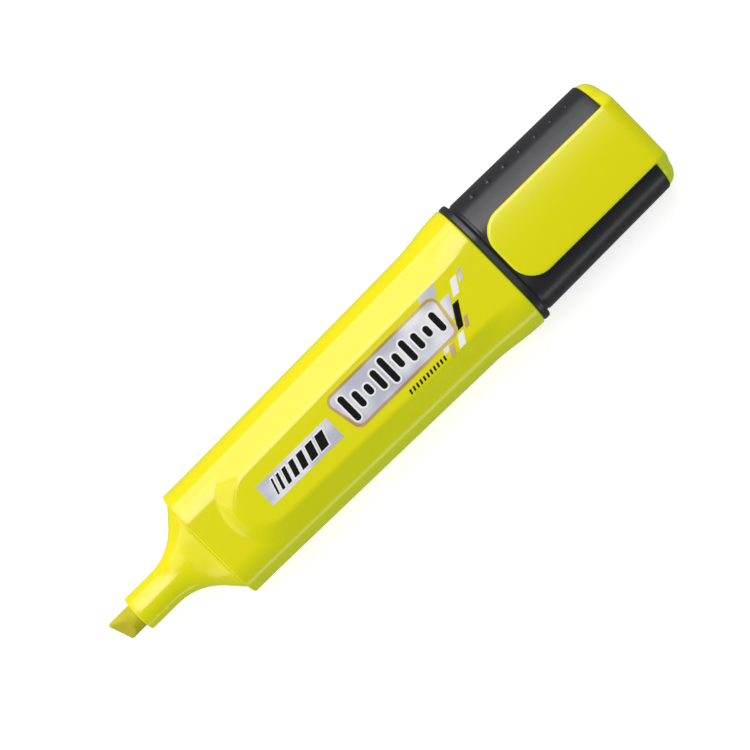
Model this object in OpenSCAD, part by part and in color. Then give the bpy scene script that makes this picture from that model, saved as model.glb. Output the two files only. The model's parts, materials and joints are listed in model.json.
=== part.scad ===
// Flat highlighter pen, lying on its back face with its cap posted on the rear end.
// X runs from the nib to the closed end of the cap, Y across the pen and Z up from the table.
// Lengths are millimetres.

/* [Barrel] */
// Width of the barrel at its rear end
barrel_w = 28; // [23:0.5:34]
// Thickness of the barrel, over both raised panels
barrel_d = 17.2; // [14.5:0.1:21]
// Length of the barrel between its two open ends
barrel_len = 72.05; // [60:0.05:90]
// Thickness of the moulded wall where the barrel is thinnest
wall = 1.05; // [0.8:0.05:1.3]
// How far each side steps in at the front, where the cap seats
front_step = 1.9; // [1.6:0.1:2.4]
// How far each side is waisted just ahead of the rear flare
waist_step = 0.8; // [0.3:0.05:1.2]
// Half-width of the flat on the front end's broad faces
front_flat = 5.4; // [4.5:0.1:6]

/* [Raised panel] */
// Height of the raised panel over the front end's broad faces
panel_rise = 1.3; // [1.1:0.1:1.6]
// Distance from the barrel's front edge to the foot of the panel
panel_setback = 5.5; // [4:0.1:8]
// Length of the sloping edge at the panel's front end
panel_ramp = 3.3; // [2:0.1:4]
// Width of the sloping edge along the panel's sides
panel_side_ramp = 3.7; // [3:0.1:5]
// Half-width of the panel at its front end
panel_half = 5.4; // [4.5:0.1:6]
// Length of the flare where the panel widens into the full rear end
flare_len = 11; // [8:1:16]
// Half-width of the flat on the panel's rear end
rear_flat = 6.3; // [5:0.1:7]

/* [Nose and nib] */
// Outside diameter of the nose tube, which the cap's inner cap seals on
nose_tube_d = 7.5; // [6.8:0.1:8.6]
// Length of the nose tube's straight part
nose_tube_len = 6.5; // [6:0.1:9]
// Length of the flare from the tube to the barrel
nose_flare_len = 11.5; // [9.5:0.1:13]
// Radius of the hollow curve where the tube meets the flare
nose_curve_r = 11.4; // [8:0.1:12]
// Diameter of the nib
nib_d = 5; // [4:0.1:5.6]
// How far the nib stands out of the nose tube
nib_out = 5.6; // [4:0.1:7]
// Length of the nib, most of it inside
nib_len = 38; // [34:1:46]
// Skew of the chisel edge from square, in degrees
nib_skew = 19; // [0:1:30]
// Thickness left along the chisel edge
nib_land = 0.8; // [0.4:0.1:1.5]
// Slope of the chisel's two bevels, in degrees from the pen's axis
nib_bevel = 40; // [35:1:60]

/* [Ink reservoir] */
// Room between the reservoir and the barrel's cavity, which the ribs bridge
rib_height = 1.1; // [0.6:0.1:1.5]
// Thickness of the film wrapped round the fibre core
film_t = 0.2; // [0.1:0.05:0.4]

/* [Cap] */
// Length of the black cap shell
cap_shell_len = 33.4; // [31:0.1:40]
// Height of the coloured dome over the shell's end
dome_h = 3.1; // [2.4:0.1:4]
// Thickness of the cap shell
cap_wall = 0.85; // [0.7:0.05:1.1]
// How much each side of the shell draws in towards its closed end
cap_draft = 0.4; // [0.2:0.05:0.6]
// Length of the collar round the cap's mouth
collar_len = 1.5; // [1:0.1:2.5]
// Radius of the dome's rounded rim
dome_edge_r = 2.9; // [1.5:0.1:3]
// How far the dome is set in from the shell's sides
dome_step = 0.25; // [0:0.05:0.4]
// Distance from the cap's mouth to the inner cap's mouth
inner_cap_depth = 18.8; // [18.4:0.1:19.5]
// Thickness of the inner cap's wall
inner_cap_wall = 0.85; // [0.6:0.05:1]

/* [Clip] */
// Width of the clip
clip_w = 14.2; // [11:0.1:16]
// Thickness of the clip
clip_t = 1.15; // [0.9:0.05:1.4]
// Gap between the clip and the shell at the cap's mouth end
clip_gap = 0.45; // [0.35:0.05:0.8]
// Distance from the cap's mouth to the clip's free end
clip_setback = 1.8; // [1.8:0.1:4]
// Radius of the free end's corners
clip_corner_r = 4.9; // [3:0.1:5.4]

/* [Grip bumps] */
// Number of bumps in each row
bump_count = 7; // [5:1:8]
// Distance between bumps
bump_pitch = 3.9; // [3.2:0.1:4]
// Diameter of the bump next to the collar
bump_d_first = 1.7; // [1.2:0.1:2]
// Diameter of the bump next to the dome
bump_d_last = 0.9; // [0.8:0.1:1.6]
// Height of each row over the pen's middle plane
bump_row_z = 4.6; // [2:0.1:5]

/* [Rear plug] */
// Length of the stub that the cap is posted on
tenon_len = 8; // [6:0.5:10]
// Length of the plug inside the barrel
plug_len = 7.5; // [5:0.5:10]

/* [Fits] */
// Clearance between the posted cap and the stub, and round pieces pressed into the barrel
fit_gap = 0.08; // [0.05:0.01:0.12]
// Clearance between the nib and its bore
nib_gap = 0.03; // [0.02:0.01:0.05]

/* [Printed films] */
// Thickness of each printed layer
print_t = 0.05; // [0.03:0.01:0.1]
// Length of the maker's panel
maker_l = 17.7; // [14:0.1:22]
// Height of the maker's panel
maker_h = 4.6; // [4:0.1:7]
// Height of the name panel
name_h = 8.4; // [7:0.1:9]

/* [Hidden] */
$fn = 64;

barrel_color = "#E6EA1E";
cap_color = "#2B2B30";
arc_n = 18;      // steps round each side of a section
flat_n = 8;      // steps across each flat of a section
edge_r = 0.3;    // rounding of moulded edges

// Stations along the pen, measured from the nib's point
nose_x = nib_out;
flare_x = nose_x + nose_tube_len;
barrel_x = flare_x + nose_flare_len;
panel_x = barrel_x + panel_setback;
panel_round_x = panel_x + panel_ramp + panel_half;  // centre of the panel's round front end
rear_x = barrel_x + barrel_len;
mouth_x = rear_x + fit_gap;
shell_end_x = mouth_x + cap_shell_len;
pen_len = shell_end_x + dome_h;
plug_x = rear_x - plug_len;
flare_end_x = rear_x - 0.6;
flare_start_x = flare_end_x - flare_len;
insert_len = 6;                          // how far the nose section reaches into the barrel
insert_end_x = barrel_x + insert_len;
hollow_x = flare_x + nose_flare_len * 0.45;
panel_edge_r = 0.5;                      // half-width of the rounding along the panel's top edge
seam_step = 0.12;                        // the flare ends this far inside the barrel's mouth
inner_cap_x = mouth_x + inner_cap_depth;

// Half sizes across the pen
rear_hw = barrel_w / 2;
rear_hd = barrel_d / 2;
front_hw = rear_hw - front_step;
front_hd = rear_hd - panel_rise;
waist_hw = rear_hw - waist_step;
cavity_hw = front_hw - wall;
cavity_hd = front_hd - wall;
cap_in_hw = front_hw + fit_gap;
cap_in_hd = front_hd + fit_gap;
cap_hw = cap_in_hw + cap_wall;
cap_hd = cap_in_hd + cap_wall;
cap_flat = front_flat + 0.2;
tube_r = nose_tube_d / 2;
bore_r = nib_d / 2 + nib_gap;
clip_z = cap_hd + clip_gap;              // underside of the clip, over the middle plane
clip_top_z = clip_z + clip_t;
hinge_gap = 0.1;                         // between the clip's root and the dome
print_z = rear_hd;                       // the raised panel's flat

function smooth(t) = let (c = min(max(t, 0), 1)) c * c * (3 - 2 * c);
function mix(a, b, t) = a + (b - a) * t;

// A section across the pen as [y, z] points, anticlockwise seen from +X:
// two flats of half-width flat, joined by half-ellipses that reach hw to each side.
function section(hw, hd, flat) = concat(
    [for (i = [0:arc_n]) let (a = -90 + 180 * i / arc_n) [flat + (hw - flat) * cos(a), hd * sin(a)]],
    [for (i = [1:flat_n - 1]) [flat * (1 - 2 * i / flat_n), hd]],
    [for (i = [0:arc_n]) let (a = 90 + 180 * i / arc_n) [-flat + (hw - flat) * cos(a), hd * sin(a)]],
    [for (i = [1:flat_n - 1]) [-flat * (1 - 2 * i / flat_n), -hd]]);

function ring(x, points) = [for (p = points) [x, p[0], p[1]]];

// Skin over rings of equal length, ordered along +X, as one closed solid; each end is a fan
module skin(rings) {
    n = len(rings[0]);
    last = len(rings) - 1;
    middle = (last + 1) * n;
    quads = [
        for (k = [0:last - 1], i = [0:n - 1])
            let (j = (i + 1) % n)
            [k * n + i, (k + 1) * n + i, (k + 1) * n + j, k * n + j]];
    polyhedron(
        concat([for (r = rings) each r], [[rings[0][0][0], 0, 0], [rings[last][0][0], 0, 0]]),
        concat(
            [for (q = quads) [q[0], q[1], q[2]]],
            [for (q = quads) [q[0], q[2], q[3]]],
            [for (i = [0:n - 1]) [middle, i, (i + 1) % n]],
            [for (i = [0:n - 1]) [middle + 1, last * n + (i + 1) % n, last * n + i]]),
        convexity = 6);
}

// Straight prism along X with round sides
module obround_x(x0, x1, hw, hd) {
    translate([x0, 0, 0])
        rotate([90, 0, 90])
            linear_extrude(x1 - x0)
                union() {
                    square([2 * (hw - hd), 2 * hd], center = true);
                    for (side = [-1, 1])
                        translate([side * (hw - hd), 0]) circle(r = hd);
                }
}

module rod_x(x0, x1, r) {
    translate([x0, 0, 0]) rotate([0, 90, 0]) cylinder(h = x1 - x0, r = r);
}

module cone_x(x0, x1, r0, r1) {
    translate([x0, 0, 0]) rotate([0, 90, 0]) cylinder(h = x1 - x0, r1 = r0, r2 = r1);
}

// ---- Barrel ----

// Half-width of the panel's top edge at x
function panel_edge(x) =
    mix(panel_half, rear_flat, smooth((x - panel_x) / (flare_start_x - panel_x)));

// How far the point [x, y] lies outside the panel's top edge, whose front end is round
function panel_distance(x, y) =
    x > panel_round_x ? abs(y) - panel_edge(x) : norm([x - panel_round_x, y]) - panel_half;

// 0 at the panel's front end to 1 along its sides
function side_share(x, y) =
    x > panel_round_x ? 1 : y * y / max(y * y + pow(x - panel_round_x, 2), panel_edge_r * panel_edge_r);

// A distance that starts from 0 smoothly
function eased_start(d) =
    d < -panel_edge_r ? 0 : d > panel_edge_r ? d : pow(d + panel_edge_r, 2) / (4 * panel_edge_r);

// Share of the panel's height at [x, y]: the front end's slope is steep at its foot and level at the top,
// and the sides' slope leaves the edge at once and runs out level with the shoulder
function panel_mask(x, y) =
    let (
        side = side_share(x, y),
        t = min(eased_start(panel_distance(x, y)) / mix(panel_ramp, panel_side_ramp, side), 1))
    mix(1 - t * t, (1 - t) * (1 - t), side);

// The reduced surface, which tapers from the waist to the front
function reduced_hw(x) = mix(front_hw, waist_hw, min(max((x - panel_x) / (flare_end_x - panel_x), 0), 1));

// The reduced section swells into the rear end's along the flare, and the panel stands on it at the rear's height
function barrel_points(x, inset) =
    let (
        full = smooth((x - flare_start_x) / flare_len),
        hd = mix(front_hd, rear_hd, full),
        low = section(
            mix(reduced_hw(x), rear_hw, full) - inset, hd - inset, mix(front_flat, rear_flat, full)))
    [for (p = low) [p[0], p[1] + sign(p[1]) * (rear_hd - hd) * panel_mask(x, p[0])]];

function span(a, b, steps) = [for (i = [0:steps - 1]) a + (b - a) * i / steps];

module barrel() {
    stations = concat(
        [barrel_x + edge_r],
        span(panel_x, panel_x + panel_ramp, 6),
        span(panel_x + panel_ramp, panel_round_x, 5),
        span(panel_round_x, flare_start_x, 4),
        span(flare_start_x, flare_end_x, 8),
        [flare_end_x, rear_x - edge_r]);
    color(barrel_color)
        union() {
            difference() {
                skin(concat(
                    [ring(barrel_x, barrel_points(barrel_x, edge_r))],
                    [ring(barrel_x + edge_r / 3, barrel_points(barrel_x, edge_r / 3))],
                    [for (x = stations) ring(x, barrel_points(x, 0))],
                    [ring(rear_x, barrel_points(rear_x, edge_r))]));
                obround_x(barrel_x - 1, rear_x + 1, cavity_hw, cavity_hd);
            }
            reservoir_ribs();
        }
}

// Six ribs along the cavity hold the reservoir clear of the wall, so that air can pass
module reservoir_ribs() {
    rib_t = 0.8;
    rib_y = 0.75 * (cavity_hw - cavity_hd);
    rib_x0 = insert_end_x + 1;
    rib_l = plug_x - 1 - rib_x0;
    for (side = [-1, 1]) {
        translate([rib_x0, side * (cavity_hw - rib_height / 2 + wall / 4) - (rib_height + wall / 2) / 2, -rib_t / 2])
            cube([rib_l, rib_height + wall / 2, rib_t]);
        for (up = [-1, 1])
            translate([
                rib_x0,
                side * rib_y - rib_t / 2,
                up * (cavity_hd - rib_height / 2 + wall / 4) - (rib_height + wall / 2) / 2])
                cube([rib_l, rib_t, rib_height + wall / 2]);
    }
}

// ---- Nose section ----

// Rise of the flare at a distance x along it: an arc that leaves the tube level, then a straight slope
function flare_rise(x) =
    let (
        rise = cavity_hw - fit_gap - seam_step - tube_r,
        reach = norm([nose_flare_len, rise - nose_curve_r]),
        slope = atan2(nose_flare_len, nose_curve_r - rise) - acos(nose_curve_r / reach),
        arc_end = nose_curve_r * sin(slope))
    x < arc_end
        ? nose_curve_r - sqrt(nose_curve_r * nose_curve_r - x * x)
        : nose_curve_r * (1 - cos(slope)) + (x - arc_end) * tan(slope);

function nose_points(x, inset) =
    let (
        share = flare_rise(x) / flare_rise(nose_flare_len),
        hw = mix(tube_r, cavity_hw - fit_gap - seam_step, share),
        hd = mix(tube_r, cavity_hd - fit_gap - seam_step, share))
    section(hw - inset, hd - inset, mix(0.02, cavity_hw - cavity_hd, share));

module nose_section() {
    core_r = bore_r + 0.9;
    color(barrel_color)
        difference() {
            union() {
                difference() {
                    union() {
                        skin([for (i = [0:10]) let (u = nose_flare_len * i / 10)
                            ring(flare_x + u, nose_points(u, 0))]);
                        obround_x(barrel_x, insert_end_x, cavity_hw - fit_gap, cavity_hd - fit_gap);
                    }
                    skin(concat(
                        [for (i = [0:4]) let (u = mix(hollow_x - flare_x, nose_flare_len, i / 4))
                            ring(flare_x + u, nose_points(u, wall))],
                        [ring(insert_end_x + 1, nose_points(nose_flare_len, wall))]));
                }
                rod_x(hollow_x - 1, insert_end_x, core_r);
                cone_x(nose_x, nose_x + edge_r, tube_r - edge_r, tube_r);
                rod_x(nose_x + edge_r, flare_x + 0.5, tube_r);
                for (a = [0, 90]) rotate([a, 0, 0]) nose_web();
            }
            rod_x(nose_x - 1, insert_end_x + 1, bore_r);
            air_slot();
        }
}

// Webs between the nose's wall and the tube that holds the nib
module nose_web() {
    web_t = 0.8;
    web_x = flare_x + nose_flare_len * 0.8;
    half = cavity_hd - fit_gap - wall / 2;
    translate([web_x, -half, -web_t / 2]) cube([insert_end_x - web_x, 2 * half, web_t]);
}

// Air gets back into the barrel along a slot beside the nib
module air_slot() {
    slot_w = 0.6;
    translate([nose_x - 1, bore_r - 0.2, -slot_w / 2])
        cube([insert_end_x - nose_x + 2, 0.2 + slot_w / 2, slot_w]);
}

// ---- Nib ----

module chisel_nib() {
    r = nib_d / 2;
    bevel_len = (r - nib_land / 2) / tan(nib_bevel);
    color("#C9C72B")
        intersection() {
            rod_x(0, nib_len, r);
            translate([r * tan(nib_skew), 0, 0])
                rotate([0, 0, nib_skew])
                    rotate([90, 0, 0])
                        linear_extrude(3 * nib_len, center = true)
                            polygon([
                                [0, -nib_land / 2], [bevel_len, -r], [nib_len + r, -r - 1],
                                [nib_len + r, r + 1], [bevel_len, r], [0, nib_land / 2]]);
        }
}

// ---- Ink reservoir ----

reservoir_x0 = insert_end_x + 0.5;
reservoir_x1 = plug_x - 0.5;
film_hw = cavity_hw - rib_height - fit_gap;
film_hd = cavity_hd - rib_height - fit_gap;

module reservoir_film() {
    color("#F4F4EA")
        difference() {
            obround_x(reservoir_x0, reservoir_x1, film_hw, film_hd);
            obround_x(reservoir_x0 - 1, reservoir_x1 + 1, film_hw - film_t, film_hd - film_t);
        }
}

module reservoir_core() {
    color("#DDE63A")
        difference() {
            obround_x(reservoir_x0, reservoir_x1, film_hw - film_t - nib_gap, film_hd - film_t - nib_gap);
            rod_x(reservoir_x0 - 1, nib_len + nib_gap, bore_r);
        }
}

// ---- Rear plug ----

module rear_plug() {
    draft = 0.1;
    color(barrel_color)
        difference() {
            union() {
                obround_x(plug_x, rear_x + 1, cavity_hw - fit_gap, cavity_hd - fit_gap);
                skin([
                    ring(rear_x, section(front_hw, front_hd, front_flat)),
                    ring(rear_x + tenon_len - 1, section(front_hw - draft, front_hd - draft, front_flat)),
                    ring(rear_x + tenon_len - 0.3, section(front_hw - 0.3, front_hd - 0.3, front_flat)),
                    ring(rear_x + tenon_len, section(front_hw - 1, front_hd - 1, front_flat))]);
            }
            obround_x(plug_x - 1, rear_x + tenon_len - 1.3, cavity_hw - fit_gap - wall, cavity_hd - fit_gap - wall);
        }
}

// ---- Cap shell ----

// Size of the shell at a distance u from its mouth, in by an inset
function shell_points(u, inset) =
    let (draft = cap_draft * u / cap_shell_len)
    section(cap_hw - draft - inset, cap_hd - draft - inset, cap_flat * (1 - inset / (cap_hw - draft)));

module cap_shell() {
    end_t = 1.2;
    collar_hw = rear_hw - 0.1;
    collar_hd = rear_hd - 0.1;
    color(cap_color)
        difference() {
            union() {
                difference() {
                    union() {
                        skin([
                            ring(mouth_x, shell_points(0, 0)),
                            ring(shell_end_x - edge_r, shell_points(cap_shell_len, 0)),
                            ring(shell_end_x, shell_points(cap_shell_len, edge_r))]);
                        skin([
                            ring(mouth_x, section(collar_hw - 0.2, collar_hd - 0.1, cap_flat)),
                            ring(mouth_x + 0.25, section(collar_hw, collar_hd, cap_flat)),
                            ring(mouth_x + collar_len - 0.25, section(collar_hw, collar_hd, cap_flat)),
                            ring(mouth_x + collar_len, section(collar_hw - 0.2, collar_hd - 0.1, cap_flat))]);
                        grip_bumps();
                    }
                    skin([
                        ring(mouth_x - 0.5, section(cap_in_hw, cap_in_hd, cap_flat)),
                        ring(mouth_x, section(cap_in_hw, cap_in_hd, cap_flat)),
                        ring(shell_end_x - end_t, shell_points(cap_shell_len, cap_wall))]);
                }
                rod_x(shell_end_x - end_t - 4, shell_end_x - end_t / 2, inner_cap_r + boss_t);
            }
            rod_x(shell_end_x - end_t - 5, shell_end_x - end_t, inner_cap_r + nib_gap);
            for (side = [-1, 1])
                translate([0, side * peg_y, 0]) rod_x(shell_end_x - 2 * end_t, shell_end_x + 1, peg_r + fit_gap);
        }
}

// Rows of bumps along both sides of the cap, smaller towards the dome
module grip_bumps() {
    first_u = 5.8;
    for (i = [0:bump_count - 1]) {
        u = first_u + i * bump_pitch;
        draft = cap_draft * u / cap_shell_len;
        r = mix(bump_d_first, bump_d_last, i / (bump_count - 1)) / 2;
        side_hw = cap_hw - draft - cap_flat;
        y = cap_flat + side_hw * sqrt(1 - pow(bump_row_z / (cap_hd - draft), 2));
        for (side = [-1, 1], up = [-1, 1])
            translate([mouth_x + u, side * (y - r * 0.45), up * bump_row_z]) sphere(r = r, $fn = 16);
    }
}

// ---- Inner cap ----

inner_cap_r = tube_r + fit_gap + inner_cap_wall;
boss_t = 1;                              // thickness of the ring that the inner cap is pressed into

module inner_cap() {
    seal_r = tube_r + fit_gap;
    length = shell_end_x - 1.2 - inner_cap_x;
    color("#F1F1EC")
        translate([inner_cap_x, 0, 0])
            rotate([0, 90, 0])
                rotate_extrude()
                    polygon([
                        [0, length], [inner_cap_r, length], [inner_cap_r, 0.4], [inner_cap_r - 0.4, 0],
                        [seal_r + 0.4, 0], [seal_r, 0.6], [seal_r, length - 1.4], [0, length - 1.4]]);
}

// ---- Cap top and clip ----

peg_r = 1.2;
peg_y = inner_cap_r + boss_t + peg_r + 0.4;

crown_h = 0.4;                           // rise of the dome's end inside its rounded rim

// Inset of the dome's rim at a height u over the shell's end
function dome_inset(u) =
    let (over = max(u - (dome_h - crown_h - dome_edge_r), 0))
    dome_step + dome_edge_r - sqrt(max(dome_edge_r * dome_edge_r - over * over, 0));

module cap_top() {
    rim_u = dome_h - crown_h;
    hollow_inset = cap_draft + dome_step + dome_edge_r + 0.4;
    crown_half = cap_hd - cap_draft - dome_step - dome_edge_r;
    color(barrel_color)
        union() {
            difference() {
                skin(concat(
                    [for (i = [0:8]) let (u = rim_u * sin(i * 90 / 8.5) / sin(8 * 90 / 8.5))
                        ring(shell_end_x + u, shell_points(cap_shell_len, dome_inset(u)))],
                    [for (k = [1:3]) let (share = k / 4)
                        ring(
                            shell_end_x + rim_u + crown_h * (1 - pow(1 - k / 3, 2)),
                            shell_points(cap_shell_len, dome_inset(rim_u) + share * crown_half))]));
                obround_x(shell_end_x - 1, shell_end_x + dome_h - 1.5, cap_hw - hollow_inset, cap_hd - hollow_inset);
            }
            clip_root();
            for (side = [-1, 1])
                translate([0, side * peg_y, 0]) rod_x(shell_end_x - 1.8, shell_end_x + dome_h - 1.2, peg_r);
        }
}

// The raised band that runs over the dome and carries the clip
module clip_root() {
    r = 2.6;
    end_u = dome_h - 0.5;
    foot_z = cap_hd - 3;
    translate([shell_end_x, 0, 0])
        rotate([90, 0, 0])
            linear_extrude(clip_w, center = true)
                difference() {
                    translate([0, foot_z]) square([end_u, clip_top_z - foot_z]);
                    difference() {
                        translate([end_u - r, clip_top_z - r]) square(r + 1);
                        translate([end_u - r, clip_top_z - r]) circle(r = r);
                    }
                }
}

module clip() {
    free_x = mouth_x + clip_setback;
    root_x = shell_end_x - hinge_gap;
    color(barrel_color) {
        translate([0, 0, clip_z])
            linear_extrude(clip_t)
                union() {
                    translate([free_x + clip_corner_r, -clip_w / 2]) square([root_x - free_x - clip_corner_r, clip_w]);
                    translate([free_x, -clip_w / 2 + clip_corner_r])
                        square([clip_corner_r + 1, clip_w - 2 * clip_corner_r]);
                    for (side = [-1, 1])
                        translate([free_x + clip_corner_r, side * (clip_w / 2 - clip_corner_r)])
                            circle(r = clip_corner_r);
                }
        clip_bead(free_x + 3);
    }
}

// A low bead under the free end grips the cloth of a pocket
module clip_bead(x) {
    bead_r = 0.6;
    bead_drop = clip_gap - 0.15;
    translate([x, 0, clip_z - bead_drop + bead_r])
        rotate([90, 0, 0])
            cylinder(h = clip_w / 2, r = bead_r, center = true);
}

// ---- Printed films ----

// Outline of a four-sided panel with corners rounded to r, from its corners in anticlockwise order
function rounded(corners, r) = [
    for (i = [0:len(corners) - 1])
        let (
            p = corners[i],
            before = corners[(i + len(corners) - 1) % len(corners)] - p,
            after = corners[(i + 1) % len(corners)] - p,
            a = before / norm(before),
            b = after / norm(after),
            half = acos(a * b) / 2,
            centre = p + (a + b) / norm(a + b) * r / sin(half),
            start = p + a * r / tan(half) - centre,
            turn = 180 - 2 * half)
        for (k = [0:6])
            let (t = turn * k / 6) centre + [start[0] * cos(t) - start[1] * sin(t), start[0] * sin(t) + start[1] * cos(t)]];

// One layer of print, laid on the layers under it
module film(layer, colour) {
    color(colour) translate([0, 0, print_z + layer * print_t]) linear_extrude(print_t) children();
}

maker_x = panel_x + 8.3;
maker_y = -0.3;
name_x = maker_x + maker_l + 1.3;
name_l = flare_start_x + 0.1 - name_x;
name_y = 0.3;
name_rim = 0.55;                         // width of the name panel's border
halo_w = 0.35;                           // width of the white edge round the marks

function name_outline(inset) = rounded([
    [name_x + 1.6 + inset, name_y - name_h / 2 + inset],
    [name_x + name_l - 1.2 - inset, name_y - name_h / 2 + inset],
    [name_x + name_l - inset, name_y + name_h / 2 - inset],
    [name_x + inset, name_y + name_h / 2 - inset]], 1.7 - inset);

module maker_panel() {
    film(0, "silver") translate([maker_x, maker_y - maker_h / 2]) square([maker_l, maker_h]);
}

// Leaning strokes from thin to thick, as a gauge of line widths, each grown by a margin
module strokes(margin) {
    stroke_h = 2.9;
    lean = 0.32;
    gap = 0.8;
    count = 7;
    first_w = 0.4;
    step = (maker_l - 4 - stroke_h * lean - gap * (count - 1) - first_w * count) * 2 / (count * (count - 1));
    for (i = [0:count - 1]) {
        w = first_w + step * i + 2 * margin;
        h = stroke_h + 2 * margin;
        x = maker_x + 2 + i * (gap + first_w) + step * i * (i - 1) / 2 - margin;
        translate([x, maker_y - h / 2]) polygon([[0, 0], [w, 0], [w + h * lean, h], [h * lean, h]]);
    }
}

module maker_halo() {
    film(1, "white") strokes(0.25);
}

module maker_marks() {
    film(2, "#111111") strokes(0);
}

module name_border() {
    film(0, "#C08A3E")
        difference() {
            polygon(name_outline(0));
            polygon(name_outline(name_rim));
        }
}

module name_panel() {
    film(0, "silver") polygon(name_outline(name_rim + 0.02));
}

// Upright round-ended bars of several heights on one middle line, each grown by a margin
module bars(margin) {
    heights = [5.6, 3.4, 2.2, 4.2, 5.6, 3.0, 4.6, 3.4, 2.2, 4.2];
    bar_w = 1.25;
    pitch = 2.45;
    count = floor((name_l - 4.5) / pitch) + 1;
    first_x = name_x + name_l / 2 - pitch * (count - 1) / 2;
    for (i = [0:count - 1])
        translate([first_x + i * pitch, name_y]) {
            straight = heights[i % len(heights)] - bar_w;
            square([bar_w + 2 * margin, straight], center = true);
            for (end = [-1, 1])
                translate([0, end * straight / 2]) circle(r = bar_w / 2 + margin, $fn = 24);
        }
}

module name_halo() {
    film(1, "white") bars(halo_w);
}

module name_marks() {
    film(2, "#111111") bars(0);
}

// A row of small leaning ticks under the panel
module caption_marks() {
    tick_h = 0.9;
    pitch = 0.85;
    film(0, "#2A2A20")
        for (i = [0:floor(name_l / 3 / pitch)])
            translate([name_x + name_l * 0.45 + i * pitch, name_y - name_h / 2 - 1.9])
                polygon([[0, 0], [0.4, 0], [0.6, tick_h], [0.2, tick_h]]);
}

stripe_lean = 0.64;

// One leaning stripe that passes behind the name panel: x, from the panel's end, at y = 0, its width and its two ends
module stripe(x, w, y0, y1) {
    difference() {
        translate([name_x + name_l + x, 0])
            polygon([
                [y0 * stripe_lean, y0], [w + y0 * stripe_lean, y0],
                [w + y1 * stripe_lean, y1], [y1 * stripe_lean, y1]]);
        polygon(name_outline(-0.15));
    }
}

module stripes_silver() {
    film(0, "silver") {
        stripe(-6.05, 3.9, 3.5, 5.7);
        stripe(-1.9, 2.6, -1.4, 2.5);
        stripe(3.3, 0.85, 2.5, 4.4);
        stripe(-2.9, 1.2, -5, -3.4);
    }
}

module stripes_white() {
    film(0, "white") {
        stripe(1.35, 1.5, 1.3, 4);
        stripe(0.55, 1.5, -6.1, -4);
    }
}

module stripes_black() {
    film(0, "#111111") stripe(0.8, 1.45, -3.5, 0.55);
}

module stripes_bronze() {
    film(0, "#B98B4A") {
        stripe(2.6, 0.9, -4.2, -2.4);
        stripe(-1.6, 1.2, -6.2, -4.4);
    }
}

// ---- Assembly ----

// Moves a piece from the nib's point and the pen's middle plane to the centre of its footprint
module placed() {
    translate([-pen_len / 2, 0, rear_hd]) children();
}

placed() barrel();
placed() nose_section();
placed() chisel_nib();
placed() reservoir_core();
placed() reservoir_film();
placed() rear_plug();
placed() cap_shell();
placed() inner_cap();
placed() cap_top();
placed() clip();
placed() maker_panel();
placed() maker_halo();
placed() maker_marks();
placed() name_border();
placed() name_panel();
placed() name_halo();
placed() name_marks();
placed() caption_marks();
placed() stripes_silver();
placed() stripes_white();
placed() stripes_black();
placed() stripes_bronze();
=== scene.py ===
# %% [markdown]
# # A flat highlighter, ready to write
# The pen is a few thin mouldings round a fibre core: a yellow barrel, a flared nose that grips the nib, and
# a black cap posted on the rear end with a yellow dome and clip. The CAD model fixes every size and every
# motion. This script gives each moulding its finished skin, and it keeps the flat prints and the hidden
# pieces as the CAD has them.

# %% Load the frame
import json

import bpy
import numpy as np
from mathutils import Matrix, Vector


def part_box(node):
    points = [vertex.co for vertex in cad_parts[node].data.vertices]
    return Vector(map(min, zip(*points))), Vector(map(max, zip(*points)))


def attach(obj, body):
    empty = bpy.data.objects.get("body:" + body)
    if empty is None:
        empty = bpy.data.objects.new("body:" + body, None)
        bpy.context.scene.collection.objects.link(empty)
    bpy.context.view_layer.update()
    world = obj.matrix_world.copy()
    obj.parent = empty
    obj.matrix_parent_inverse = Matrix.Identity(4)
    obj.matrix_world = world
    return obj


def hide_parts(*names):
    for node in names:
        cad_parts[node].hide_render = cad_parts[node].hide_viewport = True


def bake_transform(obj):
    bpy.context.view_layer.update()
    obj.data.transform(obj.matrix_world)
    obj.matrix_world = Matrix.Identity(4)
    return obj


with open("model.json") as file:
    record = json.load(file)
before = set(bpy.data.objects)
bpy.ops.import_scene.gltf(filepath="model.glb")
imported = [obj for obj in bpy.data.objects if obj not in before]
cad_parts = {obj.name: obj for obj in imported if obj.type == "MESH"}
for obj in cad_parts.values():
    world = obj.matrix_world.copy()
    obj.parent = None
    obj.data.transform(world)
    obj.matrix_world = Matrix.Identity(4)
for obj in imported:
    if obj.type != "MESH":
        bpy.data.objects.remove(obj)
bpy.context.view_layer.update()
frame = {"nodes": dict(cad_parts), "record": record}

# %% [markdown]
# ## Measuring in the pen's own millimetres
# The frame is in metres, with its origin under the pen's middle. A pen is easier to think about from its
# tip, so the shapes below use millimetres from the nib's point along x, and y and z from the pen's middle
# line. One pair of helpers goes there and back.

# %% Pen coordinates
MM = 0.001
barrel_low, barrel_high = (np.array(corner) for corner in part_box("barrel"))
PEN_ORIGIN = np.array([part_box("chisel_nib")[0][0], 0, (barrel_low[2] + barrel_high[2]) / 2])


def pen_box(node):
    """The lowest and highest corners of a CAD node, in pen millimetres."""
    return tuple((np.array(corner) - PEN_ORIGIN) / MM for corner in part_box(node))


def to_frame(points):
    """Pen millimetres to the frame's metres."""
    return np.asarray(points) * MM + PEN_ORIGIN


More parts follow.
